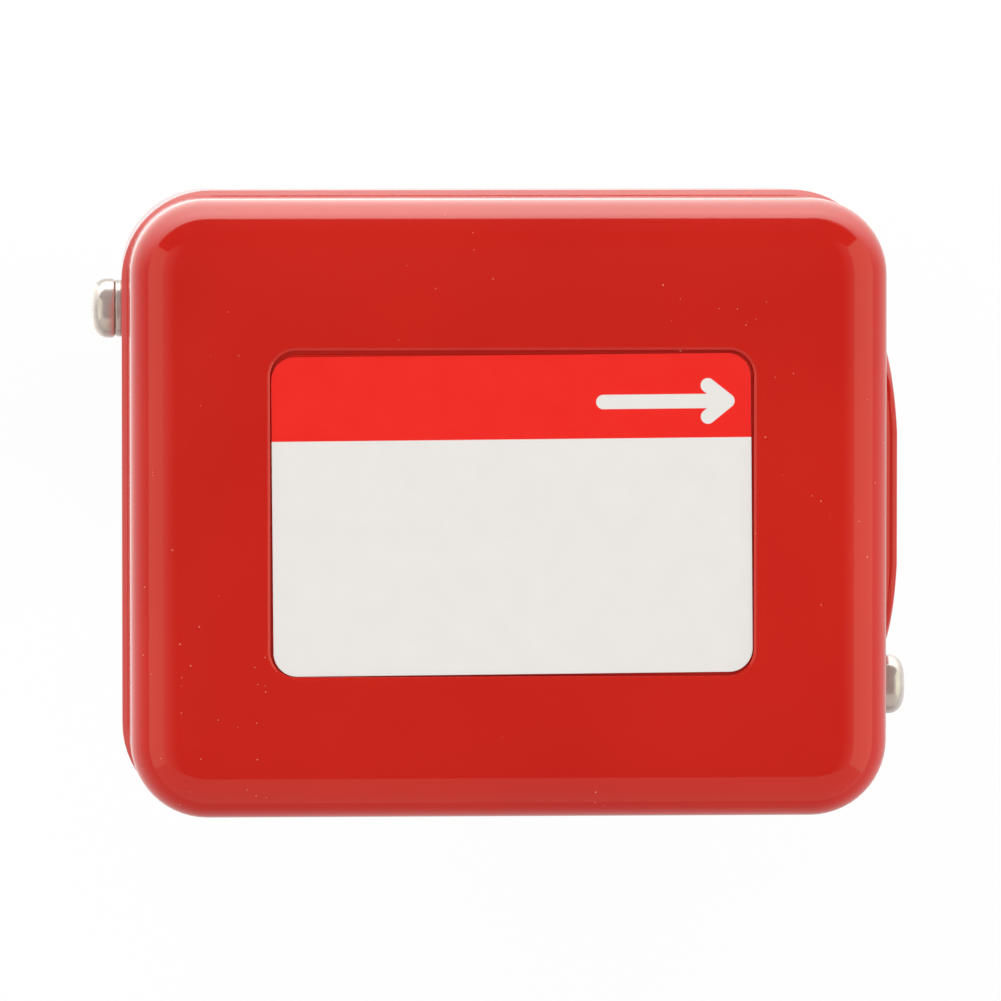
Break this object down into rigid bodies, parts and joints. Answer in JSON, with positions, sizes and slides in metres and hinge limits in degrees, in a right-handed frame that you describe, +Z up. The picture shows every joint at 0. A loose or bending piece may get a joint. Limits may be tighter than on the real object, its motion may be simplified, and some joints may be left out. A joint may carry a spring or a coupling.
{
  "type": "paddle flow switch",
  "caption": "Paddle flow switch: red two-part housing on a brass pipe thread, with a bellows-sealed lever, range spring, snap switch and stepped steel paddles that swing with the flow.",
  "frame": {"origin": "on the pipe thread's axis, in the underside of the hexagon, where the thread begins", "axes": "+Z up the lever to the cover, +X the way the water flows, which is the end with the conduit entry, +Y square to both"},
  "size_m": [0.1104, 0.0842, 0.202],
  "materials": {
    "red_paint": "gloss",
    "label_film": "satin",
    "black_rubber": "matt",
    "fibre_gasket": "matt",
    "brass": "machined",
    "bronze": "formed",
    "zinc_plate": "plated",
    "bright_screw": "plated",
    "stainless": "rolled",
    "spring_steel": "drawn",
    "dark_moulding": "moulded",
    "button_plastic": "moulded",
    "fibre_sheet": "pressed"
  },
  "bodies": {
    "housing": {"base_housing": "red_paint", "cover_gasket": "black_rubber", "cover_screws": "bright_screw", "cover_screw_washers": "bright_screw", "cover_screw_nuts": "zinc_plate", "brass_body": "brass", "body_gasket": "fibre_gasket", "body_screws": "zinc_plate", "bellows": "bronze", "bellows_ring": "brass", "pivot_pin": "stainless", "pivot_clips": "spring_steel", "mechanism_bracket": "zinc_plate", "range_spring": "spring_steel", "switch_case": "dark_moulding", "switch_side_plate": "dark_moulding", "switch_screws": "zinc_plate", "insulation_sheet": "fibre_sheet", "terminals": "brass", "terminal_screws": "zinc_plate", "earth_washer": "zinc_plate", "earth_screw": "zinc_plate"},
    "lid": {"cover": "red_paint", "label_plate": "label_film", "cover_lugs": "zinc_plate"},
    "lever": {"lever_rod": "stainless", "main_lever": "zinc_plate", "lever_nut": "zinc_plate", "bellows_cap": "brass", "paddle_clamp": "stainless", "clamp_bar": "stainless", "paddle_screws": "stainless", "paddle_short": "stainless", "paddle_medium": "stainless", "paddle_long": "stainless"},
    "plunger": {"switch_plunger": "button_plastic"},
    "adjuster": {"range_screw": "zinc_plate"},
    "spring_seat": {"range_nut": "brass"}
  },
  "joints": [
    {"name": "paddle_swing", "type": "hinge", "parent": "housing", "child": "lever", "pos_m": [0, 0, 0.0381], "axis": [0, -1, 0], "range_deg": [0, 3.5], "stiffness_Nm_per_rad": 0.8, "springref_deg": -2.29, "deforming": ["range_spring", "bellows"]},
    {"name": "plunger_travel", "type": "slide", "parent": "housing", "child": "plunger", "axis": [0, 0, 1], "range_m": [0, 0.0009], "stiffness_N_per_m": 50},
    {"name": "range_screw_turn", "type": "hinge", "parent": "housing", "child": "adjuster", "pos_m": [-0.022, 0, 0.058], "axis": [0, 0, -1], "range_deg": [0, 1441]},
    {"name": "range_nut_travel", "type": "slide", "parent": "housing", "child": "spring_seat", "axis": [0, 0, 1], "range_m": [0, 0.0028]},
    {"name": "cover_lift", "type": "slide", "parent": "housing", "child": "lid", "axis": [0, 0, 1], "range_m": [0, 0.07]}
  ],
  "couplings": [
    {"joint": "plunger_travel", "follows": "paddle_swing", "m_per_rad": 0.014},
    {"joint": "range_screw_turn", "follows": "range_nut_travel", "rad_per_m": 8976}
  ]
}
